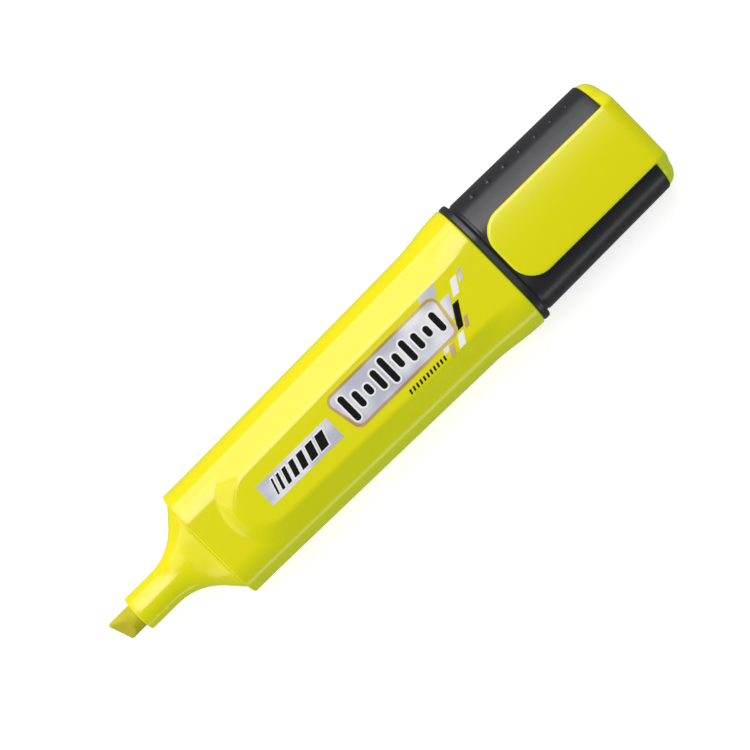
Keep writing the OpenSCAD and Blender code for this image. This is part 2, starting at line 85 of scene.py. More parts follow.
NOSE_X = pen_box("nose_section")[0][0]
INSERT_END_X = pen_box("nose_section")[1][0]
BARREL_X, REAR_HALF_W, REAR_HALF_D = pen_box("barrel")[0][0], *pen_box("barrel")[1][1:]
REAR_X = pen_box("barrel")[1][0]
PLUG_X = pen_box("rear_plug")[0][0]
STUB_END_X, FRONT_HALF_W, FRONT_HALF_D = pen_box("rear_plug")[1]
MOUTH_X = pen_box("cap_shell")[0][0]
SHELL_END_X = pen_box("cap_shell")[1][0]
COLLAR_HALF_W, COLLAR_HALF_D = pen_box("cap_shell")[1][1:]
PEN_END_X = pen_box("cap_top")[1][0]
CLIP_X = pen_box("clip")[0][0]
CLIP_HALF_W, CLIP_TOP_Z = pen_box("clip")[1][1:]
print("pen length", round(PEN_END_X, 2), "barrel", round(2 * REAR_HALF_W, 2), "by", round(2 * REAR_HALF_D, 2))

# %% [markdown]
# ## From a grid of points to a mesh
# Every moulding here is a skin: rings of points carried along the pen. Numpy works out the whole grid at
# once, and one builder joins neighbours into quads. A ring either closes each end with a fan, as on a cap,
# or the last ring joins the first, as on a sleeve that has an inside. The sign of the enclosed volume tells
# which way the faces point.

# %% Mesh builder
SMOOTH_ANGLE = np.radians(38)
made = {}


def grid_faces(rings, columns, loop):
    """Quads between neighbouring rings, each ring closed on itself."""
    ring = np.arange(rings if loop else rings - 1)[:, None]
    column = np.arange(columns)[None, :]
    after = (column + 1) % columns
    above = (ring + 1) % rings
    corners = [
        ring * columns + column, ring * columns + after, above * columns + after, above * columns + column]
    return np.stack(np.broadcast_arrays(*corners), axis=-1).reshape(-1, 4)


def fans(points):
    """The middles of the first and last rings, and the triangles from each to its ring."""
    rings, columns = points.shape[:2]
    column = np.arange(columns)
    after = (column + 1) % columns
    first = np.full(columns, rings * columns)
    start = np.stack([first, after, column], axis=1)
    base = (rings - 1) * columns
    end = np.stack([first + 1, base + column, base + after], axis=1)
    return points[[0, -1]].mean(axis=1), np.concatenate([start, end])


def enclosed_volume(verts, tris):
    """The sum of the signed tetrahedra from the origin to each triangle."""
    a, b, c = (verts[tris[:, k]] for k in range(3))
    return np.einsum("ij,ij->i", a, np.cross(b, c)).sum() / 6


def grid_solid(points, loop=False):
    """A closed solid's vertices, quads and triangles from rings, columns and xyz, with its faces outwards."""
    verts = points.reshape(-1, 3)
    quads = grid_faces(*points.shape[:2], loop)
    tris = np.empty((0, 3), int)
    if not loop:
        middles, tris = fans(points)
        verts = np.concatenate([verts, middles])
    halves = np.concatenate([quads[:, :3], quads[:, [0, 2, 3]], tris])
    if enclosed_volume(verts, halves) < 0:
        quads, tris = quads[:, ::-1], tris[:, ::-1]
    return verts, quads, tris


def make_piece(name, solids, body, replaced=()):
    """One object from solids in pen millimetres, which rides on a body and stands for CAD nodes."""
    counts = np.cumsum([0] + [len(verts) for verts, _, _ in solids])
    verts = to_frame(np.concatenate([verts for verts, _, _ in solids]))
    quads = np.concatenate([quads + start for (_, quads, _), start in zip(solids, counts)])
    tris = np.concatenate([tris + start for (_, _, tris), start in zip(solids, counts)])
    mesh = bpy.data.meshes.new(name)
    mesh.vertices.add(len(verts))
    mesh.vertices.foreach_set("co", verts.ravel())
    loops = np.concatenate([quads.ravel(), tris.ravel()])
    mesh.loops.add(len(loops))
    mesh.loops.foreach_set("vertex_index", loops)
    starts = np.concatenate([np.arange(len(quads)) * 4, quads.size + np.arange(len(tris)) * 3])
    mesh.polygons.add(len(starts))
    mesh.polygons.foreach_set("loop_start", starts)
    mesh.update(calc_edges=True)
    mesh.validate()
    mesh.shade_smooth()
    mesh.set_sharp_from_angle(angle=SMOOTH_ANGLE)
    piece = bpy.data.objects.new(name, mesh)
    bpy.context.scene.collection.objects.link(piece)
    if body:
        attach(piece, body)
    if replaced:
        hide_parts(*replaced)
    made[name] = piece
    print(f"{name}: {len(verts)} points, {2 * len(quads) + len(tris)} triangles")
    return piece


# %% [markdown]
# ## The section across the pen
# The real mould is a flat oval: two level flats joined by half-ellipses. Each column of the grid keeps its
# own share of the flat and of the ellipse, so the same columns serve every size of oval, and rings of
# different ovals join cleanly.

# %% The oval
ARC_STEPS = 72
FLAT_STEPS = 36
ROUND_STEPS = 6
arc = np.linspace(-np.pi / 2, np.pi / 2, ARC_STEPS + 1)
across = np.linspace(1, -1, FLAT_STEPS + 1)[1:-1]
FLAT_SHARE = np.concatenate([np.ones_like(arc), across, -np.ones_like(arc), -across])
SIDE_SHARE = np.concatenate([np.cos(arc), 0 * across, -np.cos(arc), 0 * across])
DEPTH_SHARE = np.concatenate([np.sin(arc), 0 * across + 1, -np.sin(arc), 0 * across - 1])


def oval(half_w, half_d, flat):
    """An oval's y = flat share * flat + side share * (half_w - flat) and z = depth share * half_d."""
    return FLAT_SHARE * flat + SIDE_SHARE * (half_w - flat), DEPTH_SHARE * half_d


def column(values):
    """A list of stations as a column, so that it meets a row of ring points."""
    return np.asarray(values, float)[:, None]


def rings(x, y, z):
    """Points from the x of each ring and the y and z of its points."""
    return np.stack(np.broadcast_arrays(x, y, z), axis=-1)


def smooth(t):
    """0 to 1 with level ends: 3 t^2 - 2 t^3."""
    t = np.clip(t, 0, 1)
    return t * t * (3 - 2 * t)


def rounding(radius, leaving=False):
    """Distances along and inwards round a quarter circle, from edge to side, or side to edge when leaving."""
    turn = np.linspace(0, np.pi / 2, ROUND_STEPS + 1)
    along, inwards = radius * (1 - np.cos(turn)), radius * (1 - np.sin(turn))
    return (-along[::-1], inwards[::-1]) if leaving else (along, inwards)


# %% [markdown]
# ## The barrel
# Its front is stepped in so that the cap can seat on it, and a tongue-shaped panel rises from each broad
# face up to the height of the full rear end. That could be boolean work with fillets, but the distance from
# the panel's outline does it in one go. At the tongue's round front the slope is steep at its foot and
# rolls over level on top. Along the sides it breaks away at the edge and runs out level with the shoulder,
# so the shoulder stays one clean sweep.

# %% Barrel skin
WALL, FIT_GAP = 1.05, 0.08
EDGE_R, EDGE_SPACE = 0.35, 0.2
FRONT_FLAT, REAR_FLAT = 5.4, 6.3
WAIST_STEP = 0.8
PANEL_SETBACK, PANEL_RAMP, SIDE_RAMP, PANEL_HALF, PANEL_EDGE_R = 5.5, 3.3, 3.7, 5.4, 0.5
PANEL_X = BARREL_X + PANEL_SETBACK
PANEL_ROUND_X = PANEL_X + PANEL_RAMP + PANEL_HALF
FLARE_LEN, FLARE_SETBACK = 11, 0.6
FLARE_END_X = REAR_X - FLARE_SETBACK
FLARE_X = FLARE_END_X - FLARE_LEN
CAVITY_HALF_W, CAVITY_HALF_D = FRONT_HALF_W - WALL, FRONT_HALF_D - WALL


def panel_distance(x, y):
    """Distance outside the panel's top edge: a half-width that grows smoothly, and a semicircle in front."""
    edge = PANEL_HALF + (REAR_FLAT - PANEL_HALF) * smooth((x - PANEL_X) / (FLARE_X - PANEL_X))
    return np.where(x > PANEL_ROUND_X, np.abs(y) - edge, np.hypot(x - PANEL_ROUND_X, y) - PANEL_HALF)


def panel_mask(x, y):
    """1 on the panel to 0 beyond its slope, with t the eased distance.

    The fall is 1 - t^2 at the front and (1 - t)^2 along the sides."""
    outside = panel_distance(x, y)
    begun = np.clip(outside + PANEL_EDGE_R, 0, 2 * PANEL_EDGE_R) ** 2 / (4 * PANEL_EDGE_R)
    eased_distance = begun + np.maximum(outside - PANEL_EDGE_R, 0)
    ahead = np.minimum(x - PANEL_ROUND_X, 0)
    side = y**2 / np.maximum(y**2 + ahead**2, PANEL_EDGE_R**2)
    side = np.where(x > PANEL_ROUND_X, 1, side)
    t = np.minimum(eased_distance / (PANEL_RAMP + (SIDE_RAMP - PANEL_RAMP) * side), 1)
    return (1 - side) * (1 - t**2) + side * (1 - t) ** 2


def barrel_rings(x, inset):
    """Outer rings at x, set in from the surface: an oval that swells along the flare, plus the panel."""
    x, inset = column(x), column(inset)
    full = smooth((x - FLARE_X) / FLARE_LEN)
    waist = REAR_HALF_W - WAIST_STEP
    growth = np.clip((x - PANEL_X) / (FLARE_END_X - PANEL_X), 0, 1)
    low_half_w = FRONT_HALF_W + (waist - FRONT_HALF_W) * growth
    half_w = low_half_w + (REAR_HALF_W - low_half_w) * full
    half_d = FRONT_HALF_D + (REAR_HALF_D - FRONT_HALF_D) * full
    y, z = oval(half_w - inset, half_d - inset, FRONT_FLAT + (REAR_FLAT - FRONT_FLAT) * full)
    return rings(x, y, z + np.sign(z) * (REAR_HALF_D - half_d) * panel_mask(x, y))


lip_along, lip_in = rounding(EDGE_R)
front_x = np.linspace(BARREL_X + EDGE_R, PANEL_X - EDGE_SPACE, 5)[1:]
ramp_x = np.linspace(PANEL_X, PANEL_ROUND_X, 52)
long_x = np.linspace(PANEL_ROUND_X, FLARE_X, 24)[1:-1]
flare_x = np.linspace(FLARE_X, FLARE_END_X, 44)
skin_x = np.concatenate([front_x, ramp_x, long_x, flare_x])
outer_x = np.concatenate([BARREL_X + lip_along, skin_x, REAR_X - lip_along[::-1]])
outer_in = np.concatenate([lip_in, 0 * skin_x, lip_in[::-1]])
inner_x = np.linspace(REAR_X - EDGE_SPACE, BARREL_X + EDGE_SPACE, 12)
cavity_y, cavity_z = oval(CAVITY_HALF_W, CAVITY_HALF_D, CAVITY_HALF_W - CAVITY_HALF_D)
barrel_points = np.concatenate([barrel_rings(outer_x, outer_in), rings(column(inner_x), cavity_y, cavity_z)])
barrel = make_piece(
    "barrel_skin", [grid_solid(barrel_points, loop=True)], "barrel", ["barrel"])

# %% [markdown]
# ## The nose
# The nose is a round tube that opens into the barrel's oval. Its sides leave the tube on an arc and run
# straight to the seam. Rings are a mix of a circle and the oval, with their columns matched by their share
# of the way round, so the four corners of the flare come out soft, as they do in a polished mould.

# %% Nose skin
TUBE_R, TUBE_LEN, TIP_R = 3.75, 6.5, 0.3
FLARE_START_X = NOSE_X + TUBE_LEN
FLARE_CURVE_R, DEPTH_LAG = 11.4, 1.5
SEAM_STEP, BACK_STEP = 0.12, 0.1
SEAM_LIP_X, SEAM_LIP_IN = np.array([-0.2, -0.06, 0.02]), [0.07, 0.22, 0.42]
BORE_R, BORE_LIP = 2.53, 0.12
BORE_FLARE = [0, 0, 0, 0.04, 0.15]
NOSE_HALF_W, NOSE_HALF_D = CAVITY_HALF_W - FIT_GAP - SEAM_STEP, CAVITY_HALF_D - FIT_GAP - SEAM_STEP


def flare_share(x):
    """0 at the tube to 1 at the barrel: an arc that leaves the tube level, then its tangent."""
    length, rise = BARREL_X - FLARE_START_X, NOSE_HALF_W - TUBE_R
    reach = np.hypot(length, FLARE_CURVE_R - rise)
    slope = np.arctan2(length, FLARE_CURVE_R - rise) - np.arccos(FLARE_CURVE_R / reach)
    along = np.clip(x - FLARE_START_X, 0, length)
    arc_end = FLARE_CURVE_R * np.sin(slope)
    on_arc = FLARE_CURVE_R - np.sqrt(FLARE_CURVE_R**2 - np.minimum(along, arc_end) ** 2)
    return (on_arc + np.maximum(along - arc_end, 0) * np.tan(slope)) / rise


def round_columns(y, z):
    """Angles that share a circle out as the points share out the oval's own length."""
    step = np.hypot(np.roll(y, -1) - y, np.roll(z, -1) - z)
    travelled = np.concatenate([[0], np.cumsum(step)[:-1]]) / step.sum()
    return 2 * np.pi * (travelled - travelled[ARC_STEPS // 2])


nose_y, nose_z = oval(NOSE_HALF_W, NOSE_HALF_D, NOSE_HALF_W - NOSE_HALF_D)
turn = round_columns(nose_y, nose_z)


def nose_rings(x, inset):
    """Rings between the tube's circle and the seam's oval, set in from the surface."""
    share, inset = column(flare_share(x)), column(inset)
    depth_share = share**DEPTH_LAG
    y = (1 - share) * TUBE_R * np.cos(turn) + share * nose_y
    z = (1 - depth_share) * TUBE_R * np.sin(turn) + depth_share * nose_z
    radius = np.hypot(y, z)
    return rings(column(x), y * (1 - inset / radius), z * (1 - inset / radius))


tip_along, tip_in = rounding(TIP_R)
tube_x = np.linspace(NOSE_X + TIP_R, FLARE_START_X, 6)[1:]
nose_flare_x = np.linspace(FLARE_START_X, BARREL_X - EDGE_R, 34)[1:]
nose_out_x = np.concatenate([NOSE_X + tip_along, tube_x, nose_flare_x, BARREL_X + SEAM_LIP_X])
nose_out_in = np.concatenate([tip_in, 0 * tube_x, 0 * nose_flare_x, SEAM_LIP_IN])
back_x = np.array([BARREL_X + BACK_STEP, INSERT_END_X])
bore_x = np.array([INSERT_END_X, FLARE_START_X, NOSE_X + TIP_R, NOSE_X + BORE_LIP, NOSE_X])
bore_r = BORE_R + column(BORE_FLARE)
nose_points = np.concatenate([
    nose_rings(nose_out_x, nose_out_in),
    rings(column(back_x), *oval(NOSE_HALF_W - BACK_STEP, NOSE_HALF_D - BACK_STEP, NOSE_HALF_W - NOSE_HALF_D)),
    rings(column(bore_x), bore_r * np.cos(turn), bore_r * np.sin(turn))])
nose = make_piece(
    "nose_skin", [grid_solid(nose_points, loop=True)], "barrel", ["nose_section"])

# %% [markdown]
# ## The chisel nib
# A nib is a rod of pressed fibre, ground to a chisel. The ground end is a height over the rod's round face:
# the edge line leans with the skew, and two bevels fall away from it. A soft maximum in place of a sharp
# one leaves the edge slightly worn, and the rim is eased all round.

# %% Nib
NIB_R = pen_box("chisel_nib")[1][1]
NIB_END_X = pen_box("chisel_nib")[1][0]
NIB_SKEW, NIB_BEVEL = np.radians(19), np.radians(40)
NIB_LAND, EDGE_WEAR, RIM_EASE, TIP_EASE, WORN_FROM = 0.8, 0.12, 0.22, 0.5, 0.4
NIB_RINGS, NIB_COLUMNS = 14, 96
MIDDLE_R, FIRST_RIM_SHARE = 0.1, 0.93


def ground_end(y, z):
    """x of the ground face: its skewed plane, plus a soft maximum of 0 and the bevel's fall, plus the rim.

    The rim is eased most at the long point, where writing wears it."""
    fall = (np.abs(z) - NIB_LAND / 2) / np.tan(NIB_BEVEL)
    soft_fall = (fall + np.hypot(fall, EDGE_WEAR)) / 2
    ease = RIM_EASE + TIP_EASE * smooth((y / NIB_R - WORN_FROM) / (1 - WORN_FROM))
    over = np.clip(np.hypot(y, z) - (NIB_R - ease), 0, ease)
    edge_x = NIB_R * np.tan(NIB_SKEW) + (soft_fall - y * np.sin(NIB_SKEW)) / np.cos(NIB_SKEW)
    return edge_x + ease - np.sqrt(ease**2 - over**2)


rim_band = RIM_EASE + TIP_EASE
middle_r = np.linspace(MIDDLE_R, NIB_R - rim_band, NIB_RINGS)
rim_r = NIB_R - rim_band * np.linspace(FIRST_RIM_SHARE, 0, NIB_RINGS) ** 2
radii = column(np.concatenate([middle_r, rim_r]))
around = np.linspace(0, 2 * np.pi, NIB_COLUMNS, endpoint=False)
face_y, face_z = radii * np.cos(around), radii * np.sin(around)
face = rings(ground_end(face_y, face_z), face_y, face_z)
side_share = column(np.linspace(0, 1, NIB_RINGS)[1:])
side_x = face[-1, :, 0] * (1 - side_share) + NIB_END_X * side_share
side = rings(side_x, NIB_R * np.cos(around), NIB_R * np.sin(around))
nib = make_piece("nib", [grid_solid(np.concatenate([face, side]))], "barrel", ["chisel_nib"])

# %% [markdown]
# ## The rear plug and its stub
# The plug closes the barrel and ends in the stub that the posted cap sits on. It only shows when the cap is
# pulled, so it is one skin: the plug, the shoulder against the barrel's edge and the stub with a rounded
# end.

# %% Rear plug
STUB_EDGE_R, STUB_STEP, PLUG_SHARE = 0.9, 0.1, 0.985
SHOULDER_X, SHOULDER_IN = REAR_X + np.array([0.02, 0.3]), [0.08, 0]
stub_along, stub_in = rounding(STUB_EDGE_R, leaving=True)
stub_x = np.concatenate([SHOULDER_X, STUB_END_X + stub_along])
stub_half = column(np.concatenate([SHOULDER_IN, STUB_STEP + stub_in]))
plug_points = np.concatenate([
    rings(column([PLUG_X, REAR_X - STUB_STEP]), cavity_y * PLUG_SHARE, cavity_z * PLUG_SHARE),
    rings(column(stub_x), *oval(FRONT_HALF_W - stub_half, FRONT_HALF_D - stub_half, FRONT_FLAT))])
plug = make_piece("rear_plug_skin", [grid_solid(plug_points)], "barrel", ["rear_plug"])

# %% [markdown]
# ## The cap shell
# A black cup with a bead round its mouth, drawn in slightly towards its closed end so that it leaves the
# mould. The grid starts on the inside of the end wall, comes out over the mouth and goes back along the
# outside, so the cup has a true inside. Grip bumps run in rows along both sides and shrink towards the
# dome. They are small balls sunk in the wall.

# %% Cap shell skin
CAP_WALL, CAP_DRAFT, END_WALL, FLAT_EXTRA = 0.85, 0.4, 1.2, 0.2
CAP_FLAT = FRONT_FLAT + FLAT_EXTRA
COLLAR_LEN, BEAD_R, BODY_START = 1.5, 0.4, 1.2
MOUTH_U, MOUTH_EASE = [0.5, 0.12, 0], [0, 0.06, 0.22]
GROOVE_U, GROOVE_IN = np.array([0.02, 0.12, 0.3, 0.5, 0.7, 0.9]), np.array([0.05, 0.16, 0.2, 0.17, 0.05, 0])
CAP_IN_W, CAP_IN_D = FRONT_HALF_W + FIT_GAP, FRONT_HALF_D + FIT_GAP
SHELL_LEN = SHELL_END_X - MOUTH_X


def shell_half(u, inset=0.0):
    """Half-width and half-depth of the shell at u from the mouth, less the draft and an inset."""
    draft = CAP_DRAFT * np.asarray(u) / SHELL_LEN
    return CAP_IN_W + CAP_WALL - draft - inset, CAP_IN_D + CAP_WALL - draft - inset


def shell_rings(u, inset):
    """Outer rings at u from the mouth, set in from the surface."""
    half_w, half_d = (column(half) for half in shell_half(u, inset))
    return rings(column(u) + MOUTH_X, *oval(half_w, half_d, CAP_FLAT))


def collar_rings(u, inset):
    """Rings of the bead round the mouth, set in from its surface."""
    inset = column(inset)
    return rings(column(u) + MOUTH_X, *oval(COLLAR_HALF_W - inset, COLLAR_HALF_D - inset, CAP_FLAT))


bead_along, bead_in = rounding(BEAD_R)
end_along, end_in = rounding(EDGE_R, leaving=True)
inside_u = np.array([SHELL_LEN - END_WALL, 20, 10, *MOUTH_U])
inside = shell_rings(inside_u, CAP_WALL - np.array([0, 0, 0, *MOUTH_EASE]))
bead = collar_rings(
    np.concatenate([bead_along, COLLAR_LEN - bead_along[::-1]]), np.concatenate([bead_in, bead_in[::-1]]))
groove = shell_rings(COLLAR_LEN + GROOVE_U, GROOVE_IN)
body_u = np.linspace(COLLAR_LEN + BODY_START, SHELL_LEN - EDGE_R, 22)
outside = shell_rings(
    np.concatenate([body_u, SHELL_LEN + end_along[1:]]), np.concatenate([0 * body_u, end_in[1:]]))
shell_solid = grid_solid(np.concatenate([inside, bead, groove, outside]))

# %% Grip bumps
BUMP_COUNT, BUMP_PITCH, BUMP_START, BUMP_Z = 7, 3.9, 5.8, 4.6
BUMP_FIRST_R, BUMP_LAST_R, BUMP_SUNK = 0.85, 0.45, 0.45
BUMP_RINGS, BUMP_COLUMNS = 12, 20


def grip_bump(index, side, up):
    """A ball on the shell's side ellipse, partly sunk along the surface's own normal."""
    u = BUMP_START + index * BUMP_PITCH
    half_w, half_d = shell_half(u)
    radius = BUMP_FIRST_R + (BUMP_LAST_R - BUMP_FIRST_R) * index / (BUMP_COUNT - 1)
    lift = np.arcsin(BUMP_Z / half_d)
    centre = np.array([MOUTH_X + u, side * (CAP_FLAT + (half_w - CAP_FLAT) * np.cos(lift)), up * BUMP_Z])
    normal = np.array([0, side * np.cos(lift) / (half_w - CAP_FLAT), up * np.sin(lift) / half_d])
    normal /= np.linalg.norm(normal)
    tangent = np.cross(normal, [1, 0, 0])
    polar = column(np.linspace(0, np.pi, BUMP_RINGS)[1:-1])
    round_turn = np.linspace(0, 2 * np.pi, BUMP_COLUMNS, endpoint=False)
    out = (np.cos(polar) - BUMP_SUNK) * radius
    flat_a = radius * np.sin(polar) * np.cos(round_turn)
    flat_b = radius * np.sin(polar) * np.sin(round_turn)
    local = out[..., None] * normal + flat_a[..., None] * np.array([1, 0, 0]) + flat_b[..., None] * tangent
    return grid_solid(centre + local)


bumps = [grip_bump(i, side, up) for i in range(BUMP_COUNT) for side in (-1, 1) for up in (-1, 1)]
cap = make_piece("cap_skin", [shell_solid, *bumps], "cap", ["cap_shell"])

# %% [markdown]
# ## The dome and clip in one moulding
# The dome closes the cap, and its top runs out into the clip. The CAD splits them so that the clip can
# flex, but a seam would look wrong, so one skin covers both. Its columns go over the top and back
# underneath: along the clip the lower columns form its underside, and at the dome they open out round the
# oval.

# %% Dome and clip
CLIP_T, CLIP_CORNER, CLIP_EDGE, CLIP_UNDER_EDGE, CLIP_CROWN = 1.15, 4.9, 0.45, 0.2, 0.22
CLIP_BOTTOM_Z = CLIP_TOP_Z - CLIP_T
RIDGE_H, RIDGE_AT, RIDGE_SPREAD, RIDGE_HALF_W, RIDGE_END = 0.3, 3, 0.6, 3, 1.2
DOME_R, DOME_STEP, CROWN_H, DOME_CORNER_SHARE = 2.9, 0.25, 0.4, 0.93
BAND_R, BAND_HALF_W, BAND_FALL = 2.9, CLIP_HALF_W - 0.5, 2.6
TOP_STEPS, LOWER_STEPS = 44, 96
top_share = np.sin(np.linspace(np.pi / 2, -np.pi / 2, TOP_STEPS + 1))
lower_share = np.linspace(0, 1, LOWER_STEPS + 1)[1:-1]


def clip_half_width(x):
    """Half-width of the clip in plan, with its free corners rounded."""
    in_corner = np.clip(CLIP_X + CLIP_CORNER - x, 0, CLIP_CORNER)
    return CLIP_HALF_W - CLIP_CORNER + np.sqrt(CLIP_CORNER**2 - in_corner**2)


def clip_inside(x, y):
    """Distance inside the clip's plan outline, the usual rounded-box distance with its sign turned."""
    past_x, past_y = CLIP_X + CLIP_CORNER - x, np.abs(y) - (CLIP_HALF_W - CLIP_CORNER)
    outside_corner = np.hypot(np.maximum(past_x, 0), np.maximum(past_y, 0))
    return CLIP_CORNER - outside_corner - np.minimum(np.maximum(past_x, past_y), 0)


def eased(inside_by, radius):
    """How far a surface drops where it lies less than radius inside an edge, along a quarter circle."""
    near = radius - np.clip(inside_by, 0, radius)
    return radius - np.sqrt(radius**2 - near**2)


def clip_rings(x):
    """Rings round the clip: over its crowned top from +y to -y, then back along its ridged underside."""
    x = column(x)
    half = clip_half_width(x)
    top_y, low_y = half * top_share, half * (2 * lower_share - 1)
    top_z = CLIP_TOP_Z - CLIP_CROWN * (top_y / CLIP_HALF_W) ** 2 - eased(clip_inside(x, top_y), CLIP_EDGE)
    ridge = RIDGE_H * np.exp(-(((x - CLIP_X - RIDGE_AT) / RIDGE_SPREAD) ** 2))
    ridge_drop = ridge * (1 - smooth((np.abs(low_y) - RIDGE_HALF_W) / RIDGE_END))
    low_z = CLIP_BOTTOM_Z + eased(clip_inside(x, low_y), CLIP_UNDER_EDGE) - ridge_drop
    return rings(x, np.concatenate([top_y, low_y], axis=1), np.concatenate([top_z, low_z], axis=1))


def dome_rings(x, inset, band_z):
    """Rings round the dome: an oval set in from the shell, its top drawn up to the clip in the middle."""
    half_w, half_d = (column(half) for half in shell_half(SHELL_LEN, inset))
    flat = CAP_FLAT * half_w / shell_half(SHELL_LEN)[0]
    corner_y = np.minimum(CLIP_HALF_W, DOME_CORNER_SHARE * half_w)
    corner_lift = np.arccos(np.clip((corner_y - flat) / (half_w - flat), 0, 1))
    top_y = corner_y * top_share
    top_z = half_d * np.sqrt(1 - np.clip((np.abs(top_y) - flat) / (half_w - flat), 0, 1) ** 2)
    travel = lower_share * (2 * (corner_lift + np.pi / 2) * (half_w - flat) + 2 * flat)
    side_len = (corner_lift + np.pi / 2) * (half_w - flat)
    left = corner_lift - travel / (half_w - flat)
    right = -np.pi / 2 + (travel - side_len - 2 * flat) / (half_w - flat)
    on_left, on_right = travel < side_len, travel > side_len + 2 * flat
    low_y = np.where(
        on_left, -flat - (half_w - flat) * np.cos(left),
        np.where(on_right, flat + (half_w - flat) * np.cos(right), travel - side_len - flat))
    low_z = np.where(on_left, half_d * np.sin(left), np.where(on_right, half_d * np.sin(right), -half_d))
    y, z = np.concatenate([top_y, low_y], axis=1), np.concatenate([top_z, low_z], axis=1)
    drawn_up = (1 - smooth((np.abs(y) - BAND_HALF_W) / BAND_FALL)) * (z > 0)
    crowned = column(band_z) - CLIP_CROWN * (y / CLIP_HALF_W) ** 2
    return rings(column(x), y, z + (crowned - z) * drawn_up)


clip_x = np.concatenate([
    CLIP_X + CLIP_CORNER * (1 - np.cos(np.linspace(0.02, np.pi / 2, 26))),
    np.linspace(CLIP_X + CLIP_CORNER, SHELL_END_X - 0.05, 44)[1:]])
rim_x = PEN_END_X - CROWN_H - DOME_R
rim_turn = np.linspace(np.arcsin(np.clip((SHELL_END_X - rim_x) / DOME_R, 0, 1)), np.pi / 2, 16)
dome_x = np.maximum(rim_x + DOME_R * np.sin(rim_turn), SHELL_END_X + 0.02)
dome_in = DOME_STEP + DOME_R * (1 - np.cos(rim_turn))
band_start = PEN_END_X - CROWN_H - BAND_R
band_z = CLIP_TOP_Z - BAND_R + np.sqrt(BAND_R**2 - np.clip(dome_x - band_start, 0, BAND_R) ** 2)
crown_share = np.array([0.12, 0.3, 0.5, 0.7])
rim_half_d = shell_half(SHELL_LEN, dome_in[-1])[1]
crown_x = PEN_END_X - CROWN_H * (1 - crown_share / crown_share[-1]) ** 2
crown_in = dome_in[-1] + crown_share * rim_half_d
insert_points = np.concatenate([
    clip_rings(clip_x),
    dome_rings(dome_x, dome_in, band_z),
    dome_rings(crown_x, crown_in, band_z[-1] * (1 - crown_share))])
insert = make_piece("dome_and_clip", [grid_solid(insert_points)], None, ["cap_top", "clip"])
tuple(to_frame([SHELL_END_X - 0.4, 0, 0]))
tuple(to_frame([SHELL_END_X - 4.5, 0, 0]))
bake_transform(insert)

# %% [markdown]
# ## Finishes
# Shader maths reads best as sums, so a small class wraps a socket and turns each operator into its Math
# node. Everything else comes from one method that makes a node from its type, its settings and what feeds
# its sockets.

# %% Node helpers
class Wire:
    """A node's output that can be added to and multiplied."""

    def __init__(self, finish, socket):
        self.finish, self.socket = finish, socket

    def math(self, operation, *values):
        return self.finish.node("Math", {"operation": operation}, dict(enumerate(values)))

    def __add__(self, other):
        return self.math("ADD", self, other)

    def __mul__(self, other):
        return self.math("MULTIPLY", self, other)

    __radd__, __rmul__ = __add__, __mul__

    def above(self, low, high):
        """0 below low to 1 above high, smoothly."""
        return self.finish.node(
            "MapRange", {"interpolation_type": "SMOOTHSTEP"},
            {"Value": self, "From Min": low, "From Max": high})


class Finish:
    """A material under construction."""

    def __init__(self, name):
        self.material = bpy.data.materials.new(name)
        self.material.use_nodes = True
        self.tree = self.material.node_tree
        self.tree.nodes.clear()
        self.place = self.node("TexCoord", out="Object")

    def node(self, kind, settings=None, feeds=None, out=0):
        """Adds a node, applies its settings, feeds its sockets and returns one output, if it has any."""
        made_node = self.tree.nodes.new("ShaderNode" + kind)
        for key, value in (settings or {}).items():
            setattr(made_node, key, value)
        for key, value in (feeds or {}).items():
            if isinstance(value, Wire):
                self.tree.links.new(value.socket, made_node.inputs[key])
            else:
                made_node.inputs[key].default_value = value
        return Wire(self, made_node.outputs[out]) if made_node.outputs else None

    def noise(self, size_mm, detail=2.0, stretch=(1, 1, 1)):
        """Noise whose features are about size_mm across, longer along an axis whose stretch is under 1."""
        scaled = self.node("VectorMath", {"operation": "MULTIPLY"}, {0: self.place, 1: stretch})
        return self.node("TexNoise", {}, {"Vector": scaled, "Scale": 1 / (size_mm * MM), "Detail": detail})

    def mix(self, share, first, second):
        """A colour between two, by a share."""
        first, second = (colour if isinstance(colour, Wire) else (*colour, 1) for colour in (first, second))
        return self.node("Mix", {"data_type": "RGBA"}, {0: share, 6: first, 7: second}, out=2)

    def bump(self, height, depth_mm):
        """A normal from a height of 0 to 1 that stands for depth_mm."""
        return self.node(
            "Bump", {}, {"Height": height, "Distance": depth_mm * MM, "Strength": 1.0}, out="Normal")

    def surface(self, **feeds):
        """The principled shader, its sockets named with underscores, and the material's output."""
        named = {key.replace("_", " "): value for key, value in feeds.items()}
        for key, value in named.items():
            if isinstance(value, tuple) and len(value) == 3:
                named[key] = (*value, 1)
        shader = self.node("BsdfPrincipled", {}, named)
        self.node("OutputMaterial", {}, {"Surface": shader})
        return self.material


# %% [markdown]
# ### Fluorescent yellow plastic
# The dye turns blue light into yellow-green, so the plastic stays bright in its own shade and leans green
# there. A weak green emission paints that in: a painted glow that lifts and greens the shaded sides even
# where no lamp reaches. The skin is polished, with a faint waviness from the mould and fine handling marks.

# %% Yellow plastic
YELLOW, YELLOW_DEEP = (0.69, 0.49, 0.002), (0.67, 0.47, 0.001)


def yellow_plastic():
    f = Finish("yellow_plastic")
    cloud = f.noise(14, detail=1)
    marks = f.noise(0.5, detail=3, stretch=(0.06, 1, 1)).above(0.62, 0.8)
    wave = f.noise(3.5, detail=0)
    return f.surface(
        Base_Color=f.mix(cloud, YELLOW, YELLOW_DEEP), Roughness=0.13 + 0.05 * cloud + 0.1 * marks, IOR=1.55,
        # The green emission is a painted glow in the shaded sides, not lamp light.
        Emission_Color=(0.3, 1.0, 0.0), Emission_Strength=0.22,
        Normal=f.bump(wave + 0.02 * marks, 0.006))


